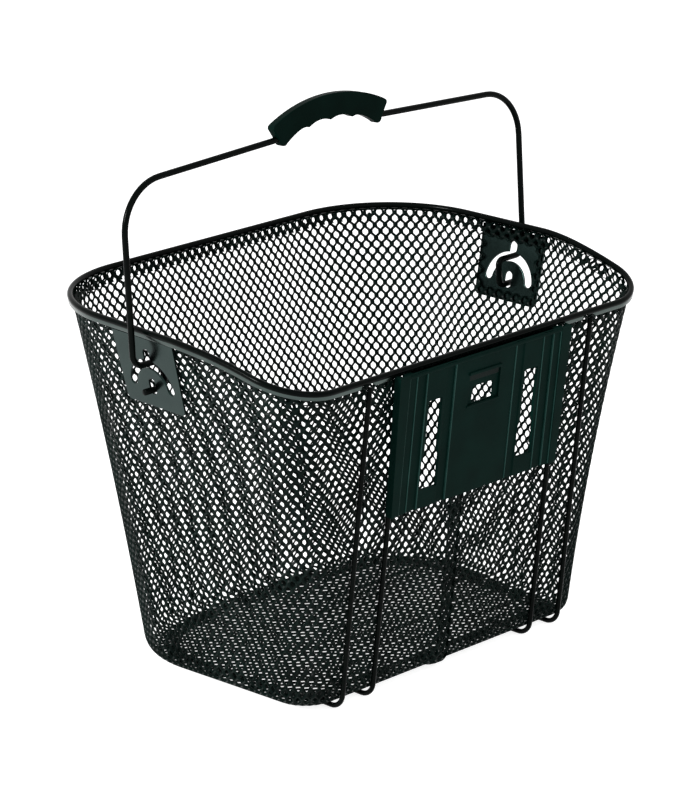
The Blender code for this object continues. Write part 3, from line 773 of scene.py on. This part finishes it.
def plate_profile():
    """The plate's section across its width: standoff against x, with grooves for the wires."""
    right = []
    start = 0.0
    for end, face in PLATE_FACES:
        right += [(start + PLATE_STEP_SLOPE, face), (end - PLATE_STEP_SLOPE, face)]
        start = end
    groove = WIRE_RADIUS + GROOVE_GAP
    top = arc((INNER_WIRE_X, WIRE_STANDOFF), groove, 0.0, math.pi, 10)
    back = [(PLATE_FACES[-1][0], PLATE_BACK), (INNER_WIRE_X + groove, PLATE_BACK), *top,
            (INNER_WIRE_X - groove, PLATE_BACK), (PLATE_SHELL_X, PLATE_BACK),
            (PLATE_SHELL_X, PLATE_SHELL_BACK)]
    half = right[1:] + back
    return half + [(-x, y) for x, y in reversed(half)]


def upright_box(half_width, low, high):
    return [(-half_width, low), (half_width, low), (half_width, high), (-half_width, high)]


def make_plate():
    """The plate cut from its profile, with its top lip, the latch's surround with a near-black strip
    as painted shade under the hood, and the ridges.
    """
    rear = rear_matrix(0.0)
    run = Matrix.Identity(4)
    run.col[0] = rear.col[0]
    run.col[1] = rear.col[2]
    run.col[2] = -rear.col[1]
    run.col[3] = (*(rear @ Vector((0.0, -(PLATE_TOP + PLATE_BOTTOM) / 2, 0.0))), 1.0)
    plate = flat_curve("plate_body", [plate_profile()], (PLATE_BOTTOM - PLATE_TOP) / 2, run)
    shapes = []
    low = -PLATE_BOTTOM - CUT_MARGIN
    for side in (-1, 1):
        shapes.append([
            (side * PLATE_HALF_TOP, CUT_MARGIN),
            (side * PLATE_HALF_BOTTOM, low),
            (side * CUT_SIDE_X, low),
            (side * CUT_SIDE_X, CUT_MARGIN),
        ])
        slot = [
            (-SLOT_HALF_UPPER, -SLOT_TOP),
            (-SLOT_HALF_UPPER, -SLOT_STEP),
            (-SLOT_HALF_LOWER, -SLOT_STEP - SLOT_TAPER),
            (-SLOT_HALF_LOWER, -SLOT_BOTTOM),
            (SLOT_HALF_LOWER, -SLOT_BOTTOM),
            (SLOT_HALF_LOWER, -SLOT_STEP - SLOT_TAPER),
            (SLOT_HALF_UPPER, -SLOT_STEP),
            (SLOT_HALF_UPPER, -SLOT_TOP),
        ]
        shapes.append([(side * SLOT_X + x, y) for x, y in slot])
    shapes.append(upright_box(LATCH_HALF_WIDTH, -LATCH_BOTTOM, -LATCH_TOP))
    cutters = [
        flat_curve(f"cutter_{k}", [shape], CUT_HALF_DEPTH, rear_matrix(CUT_STANDOFF))
        for k, shape in enumerate(shapes)
    ]
    pocket = upright_box(POCKET_HALF_WIDTH, -POCKET_BOTTOM, -POCKET_TOP)
    pocket_place = rear_matrix(POCKET_FLOOR + POCKET_CUT_HALF)
    cutters.append(flat_curve("cutter_pocket", [pocket], POCKET_CUT_HALF, pocket_place))
    for cutter in cutters:
        cut(plate, cutter)
    bake(plate, cutters)
    soften(plate, PLATE_EDGE, 2, 32.0)
    bake(plate)
    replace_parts(plate, "receiver_plate")
    bars = [bar(name, low, high, rear, edge) for name, low, high, edge in PLATE_BARS]
    ridges = [
        bar(f"plate_ridge_{k}", (x - RIDGE_HALF_WIDTH, -RIDGE_BOTTOM, RIDGE_BACK),
            (x + RIDGE_HALF_WIDTH, -RIDGE_TOP, face), rear, RIDGE_EDGE, 2)
        for k, (x, face) in enumerate(RIDGES)
    ]
    pieces = (plate, *bars, *ridges)
    for piece in pieces:
        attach(piece, "basket")
    return pieces


# ---- pivot plates -----------------------------------------------------------------------
def arc_slot_outline():
    """The bail's arc slot with its assembly notch, round the pivot; local Y is up."""
    outer = ARC_RADIUS + SLOT_HALF_WIDTH
    inner = ARC_RADIUS - SLOT_HALF_WIDTH
    low = math.pi / 2 - ARC_HALF_ANGLE
    high = math.pi / 2 + ARC_HALF_ANGLE
    notch = math.asin(SLOT_HALF_WIDTH / outer)
    first_end = (ARC_RADIUS * math.cos(low), ARC_RADIUS * math.sin(low))
    last_end = (ARC_RADIUS * math.cos(high), ARC_RADIUS * math.sin(high))
    points = arc((0, 0), outer, low, math.pi / 2 - notch, 16)
    points += arc((0, NOTCH_TOP - SLOT_HALF_WIDTH), SLOT_HALF_WIDTH, 0.0, math.pi, 12)
    points += arc((0, 0), outer, math.pi / 2 + notch, high, 16)
    points += arc(last_end, SLOT_HALF_WIDTH, high, high + math.pi, 10)[1:-1]
    points += arc((0, 0), inner, high, low, 26)
    points += arc(first_end, SLOT_HALF_WIDTH, low + math.pi, low + 2 * math.pi, 10)[1:-1]
    return points


def pivot_plate_matrix(side):
    """Plane of a pivot plate's mid-thickness, with its normal pointing outwards."""
    top_front, top_rear, low_rear = (Vector((side * x, y, z)) for x, y, z in PIVOT_PLATE_POINTS)
    along = (top_front - top_rear).normalized()
    out = along.cross(top_rear - low_rear).normalized()
    if out.x * side < 0:
        out = -out
    matrix = Matrix.Identity(4)
    x_axis = along if side > 0 else -along
    matrix.col[0] = (*x_axis, 0.0)
    matrix.col[1] = (*out.cross(x_axis), 0.0)
    matrix.col[2] = (*out, 0.0)
    matrix.col[3] = (*(top_rear - out * PIVOT_PLATE_THICKNESS / 2), 1.0)
    return matrix


def make_pivot_plate(side):
    """A flat trapezium with the bail's arc slot, its notch and the lower slot."""
    name = "pivot_plate_right" if side > 0 else "pivot_plate_left"
    width = PIVOT_PLATE_WIDTH
    rear_lean, front_lean = PIVOT_PLATE_TAPER
    radius = PIVOT_PLATE_CORNER
    low = radius - PIVOT_PLATE_HEIGHT
    front = arc((width - front_lean - radius, low), radius, -math.pi / 2, 0.0, 8)
    rear = arc((rear_lean + radius, low), radius, -math.pi, -math.pi / 2, 8)
    top = [(0.0, PIVOT_PLATE_RISE), (width, PIVOT_PLATE_RISE)]
    outline = top + front[::-1] + rear[::-1]
    matrix = pivot_plate_matrix(side)
    normal = matrix.col[2].to_3d()
    origin = matrix.col[3].to_3d()
    to_plate = matrix.inverted()
    stadium = arc((0, LOWER_SLOT_LIFT), SLOT_HALF_WIDTH, 0.0, math.pi, 12)
    stadium += arc((0, 0), SLOT_HALF_WIDTH, math.pi, 2 * math.pi, 12)
    rings = [[(x * side, y) for x, y in outline]]
    for shape in (arc_slot_outline(), stadium):
        ring = []
        for y, z in shape:
            on_axis = PIVOT + Vector((0.0, y, z))
            reach = normal.dot(origin - on_axis) / normal.x
            ring.append(tuple((to_plate @ (on_axis + Vector((reach, 0.0, 0.0))))[:2]))
        rings.append(ring)
    plate = flat_curve(name + "_sheet", rings, PIVOT_PLATE_THICKNESS / 2, matrix)
    soften(plate, PIVOT_PLATE_EDGE, 2, 40.0)
    bake(plate)
    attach(plate, "basket")
    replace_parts(plate, name)
    return plate


# ---- bail and grip ----------------------------------------------------------------------
def make_bail():
    """The bent wire and the grip on it, upright in the pose of the frame."""
    half = [
        (BAIL_STUB_X, 0.0, 0.0),
        (BAIL_INNER_X, 0.0, 0.0),
        (BAIL_INNER_X, 0.0, ARC_RADIUS),
        (BAIL_HALF_WIDTH, 0.0, ARC_RADIUS),
        (BAIL_HALF_WIDTH, 0.0, BAIL_SHOULDER_H),
        (BAIL_MIDDLE_X, 0.0, BAIL_MIDDLE_H),
        (BAIL_GRIP_X, 0.0, BAIL_GRIP_H),
    ]
    mirrored = [(-x, y, z) for x, y, z in half]
    corners = mirrored + [(0.0, 0.0, BAIL_CROWN_H)] + list(reversed(half))
    path = fillet(corners, [*BAIL_BENDS, BAIL_CROWN, *reversed(BAIL_BENDS)], 12)
    place = Matrix.Translation(PIVOT) @ Matrix.Rotation(-BAIL_LEAN, 4, "X")
    run = [place @ p for p in path]
    bail = tube("bail_tube", run, BAIL_RADIUS, 20, end_round=BAIL_END_ROUND)
    reach = math.asin(GRIP_ARCH_HALF / GRIP_ARCH_RADIUS)
    top = arc((0.0, GRIP_TOP_H - GRIP_ARCH_RADIUS), GRIP_ARCH_RADIUS,
              math.pi / 2 - reach, math.pi / 2 + reach, 36)
    outer = bezier(*GRIP_LOBE, 14)
    tip = arc(GRIP_TIP, GRIP_TIP_RADIUS, GRIP_TIP_START, GRIP_TIP_END, 12)
    end = [(GRIP_HALF_LENGTH, GRIP_END_H[0]), (GRIP_HALF_LENGTH - GRIP_END_CHAMFER, GRIP_END_H[1])]
    right = outer + tip + end
    middle = bezier(*GRIP_HOLLOW, 14)
    left = [(-x, z) for x, z in reversed(right)]
    groove = [(-x, z) for x, z in reversed(middle)]
    outline = top + left + groove[1:] + middle[1:] + right[1:]
    upright = place @ Matrix.Rotation(math.pi / 2, 4, "X")
    grip = flat_curve("grip_body", [outline], GRIP_THICKNESS / 2, upright)
    soften(grip, GRIP_EDGE, 3, 50.0)
    bake(grip)
    for piece, node, finish in ((bail, "bail_wire", "coated_wire"),
                                (grip, "grip", "moulded_plastic")):
        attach(piece, "bail")
        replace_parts(piece, node)
    return bail, grip


# ---- materials --------------------------------------------------------------------------
def coat(name, dark, light, rough, bump, grain, wear_and_edge_highlight=0.0, gloss=0.3, metal=0.0):
    """Stoved coating: two close tones in soft patches, fine bump and paler edges, partly wear and
    partly painted highlight.
    """
    mat = bpy.data.materials.new(name)
    mat.use_nodes = True
    nodes = mat.node_tree.nodes
    links = mat.node_tree.links
    shader = nodes["Principled BSDF"]
    shader.inputs["Metallic"].default_value = metal
    shader.inputs["Specular IOR Level"].default_value = gloss
    place = nodes.new("ShaderNodeTexCoord")
    patch = nodes.new("ShaderNodeTexNoise")
    patch.inputs["Scale"].default_value = 45.0
    patch.inputs["Detail"].default_value = 5.0
    links.new(place.outputs["Object"], patch.inputs["Vector"])
    tone = nodes.new("ShaderNodeValToRGB")
    tone.color_ramp.elements[0].position = 0.35
    tone.color_ramp.elements[0].color = (*dark, 1)
    tone.color_ramp.elements[1].position = 0.70
    tone.color_ramp.elements[1].color = (*light, 1)
    links.new(patch.outputs["Fac"], tone.inputs["Fac"])
    colour = tone.outputs["Color"]
    # paler convex edges from pointiness: partly wear of the coating, partly a painted highlight
    # along the edges
    if wear_and_edge_highlight:
        edge = nodes.new("ShaderNodeNewGeometry")
        ramp = nodes.new("ShaderNodeValToRGB")
        ramp.color_ramp.elements[0].position = 0.52
        ramp.color_ramp.elements[0].color = (0, 0, 0, 1)
        ramp.color_ramp.elements[1].position = 0.62
        ramp.color_ramp.elements[1].color = (wear_and_edge_highlight, wear_and_edge_highlight, wear_and_edge_highlight, 1)
        links.new(edge.outputs["Pointiness"], ramp.inputs["Fac"])
        mix = nodes.new("ShaderNodeMix")
        mix.data_type = "RGBA"
        mix.inputs["B"].default_value = (*(min(1.0, c * 4 + 0.03) for c in light), 1)
        links.new(ramp.outputs["Color"], mix.inputs["Factor"])
        links.new(colour, mix.inputs["A"])
        colour = mix.outputs["Result"]
    links.new(colour, shader.inputs["Base Color"])
    fine = nodes.new("ShaderNodeTexNoise")
    fine.inputs["Scale"].default_value = grain
    fine.inputs["Detail"].default_value = 3.0
    links.new(place.outputs["Object"], fine.inputs["Vector"])
    spread = nodes.new("ShaderNodeMapRange")
    spread.inputs["To Min"].default_value = rough - 0.06
    spread.inputs["To Max"].default_value = rough + 0.08
    links.new(fine.outputs["Fac"], spread.inputs["Value"])
    links.new(spread.outputs["Result"], shader.inputs["Roughness"])
    relief = nodes.new("ShaderNodeBump")
    relief.inputs["Strength"].default_value = bump
    relief.inputs["Distance"].default_value = 0.0002
    links.new(fine.outputs["Fac"], relief.inputs["Height"])
    links.new(relief.outputs["Normal"], shader.inputs["Normal"])
    return mat


def paint(obj, material):
    obj.data.materials.clear()
    obj.data.materials.append(material)


MESH_COAT = coat("mesh_coat", (0.0006, 0.0026, 0.0021), (0.0018, 0.0062, 0.0050), 0.30, 0.25, 900,
                 gloss=0.04)
WIRE_COAT = coat("wire_coat", (0.0004, 0.0010, 0.0008), (0.0008, 0.0018, 0.0014), 0.17, 0.10, 700,
                 wear_and_edge_highlight=0.01, gloss=0.035)
SKIRT_COAT = coat("skirt_coat", (0.040, 0.054, 0.050), (0.052, 0.068, 0.063), 0.20, 0.10, 700,
                  wear_and_edge_highlight=0.05, gloss=0.3, metal=1.0)
PLATE_COAT = coat("plate_coat", (0.014, 0.026, 0.024), (0.019, 0.033, 0.030), 0.20, 0.06, 900,
                  wear_and_edge_highlight=0.05, gloss=0.3, metal=1.0)
PLASTIC = coat("plastic", (0.0003, 0.0060, 0.0045), (0.0006, 0.0085, 0.0064), 0.50, 0.20, 1400,
               wear_and_edge_highlight=0.02, gloss=0.02)
GRIP_PLASTIC = coat("grip_plastic", (0.0003, 0.0040, 0.0028), (0.0007, 0.0066, 0.0048), 0.34, 0.20,
                    1400, wear_and_edge_highlight=0.10, gloss=0.012)
# a lighter tone on the fine ridges: painted highlight lines along edges that catch the light
RIDGE_PAINTED_HIGHLIGHT = coat("ridge_painted_highlight", (0.008, 0.032, 0.027), (0.016, 0.048, 0.041), 0.45, 0.20,
                     1400, gloss=0.05)


# ---- stage ------------------------------------------------------------------------------
def make_stage():
    bm = bmesh.new()
    bmesh.ops.create_grid(bm, x_segments=1, y_segments=1, size=12.0)
    floor = from_bmesh("floor", bm)
    floor.location.z = -0.0003
    mat = bpy.data.materials.new("floor")
    mat.use_nodes = True
    shader = mat.node_tree.nodes["Principled BSDF"]
    shader.inputs["Base Color"].default_value = (0.45, 0.45, 0.45, 1)
    shader.inputs["Roughness"].default_value = 0.95
    shader.inputs["Specular IOR Level"].default_value = 0.0
    shader.inputs["Emission Color"].default_value = (1, 1, 1, 1)
    shader.inputs["Emission Strength"].default_value = 0.85
    paint(floor, mat)
    world = bpy.data.worlds.new("studio")
    bpy.context.scene.world = world
    world.use_nodes = True
    world.node_tree.nodes["Background"].inputs["Color"].default_value = (1, 1, 1, 1)
    world.node_tree.nodes["Background"].inputs["Strength"].default_value = 1.0
    bpy.context.scene.view_settings.view_transform = "Standard"


def area_light(name, position, target, size, power):
    data = bpy.data.lights.new(name, "AREA")
    data.shape = "RECTANGLE"
    data.size, data.size_y = size
    data.energy = power
    lamp = new_object(name, data)
    lamp.location = position
    lamp.rotation_euler = (Vector(target) - Vector(position)).to_track_quat("-Z", "Y").to_euler()
    return lamp


def make_camera():
    data = bpy.data.cameras.new("camera")
    data.lens = 171.0
    data.sensor_width = 36.0
    camera = new_object("camera", data)
    camera.location = (-1.7027, -1.6899, 0.9610)
    target = Vector((0.0015, -0.0034, 0.1633))
    camera.rotation_euler = (target - camera.location).to_track_quat("-Z", "Y").to_euler()
    bpy.context.scene.camera = camera


# ---- the whole scene ----------------------------------------------------------------------
for piece in (make_wall(), *make_hem(), make_base()):
    paint(piece, MESH_COAT)
bead, skirt = make_rim()
paint(skirt, SKIRT_COAT)
for piece in (bead, *make_wires()):
    paint(piece, WIRE_COAT)
for piece in make_plate():
    # the fine ridges take the lighter tone, a painted highlight
    finish = RIDGE_PAINTED_HIGHLIGHT if "ridge" in piece.name else PLASTIC
    # the strip under the latch hood takes the mesh's near-black coat as painted shade
    paint(piece, MESH_COAT if "tongue" in piece.name else finish)
for side in (-1, 1):
    paint(make_pivot_plate(side), PLATE_COAT)
bail, grip = make_bail()
paint(bail, WIRE_COAT)
paint(grip, GRIP_PLASTIC)
make_stage()
MIDDLE_POINT = (0.0, 0.0, 0.16)
area_light("key", (-2.3, 0.5, 1.3), MIDDLE_POINT, (0.6, 0.6), 80)
area_light("fill", (-0.6, -2.2, 1.4), MIDDLE_POINT, (1.0, 1.0), 4)
make_camera()
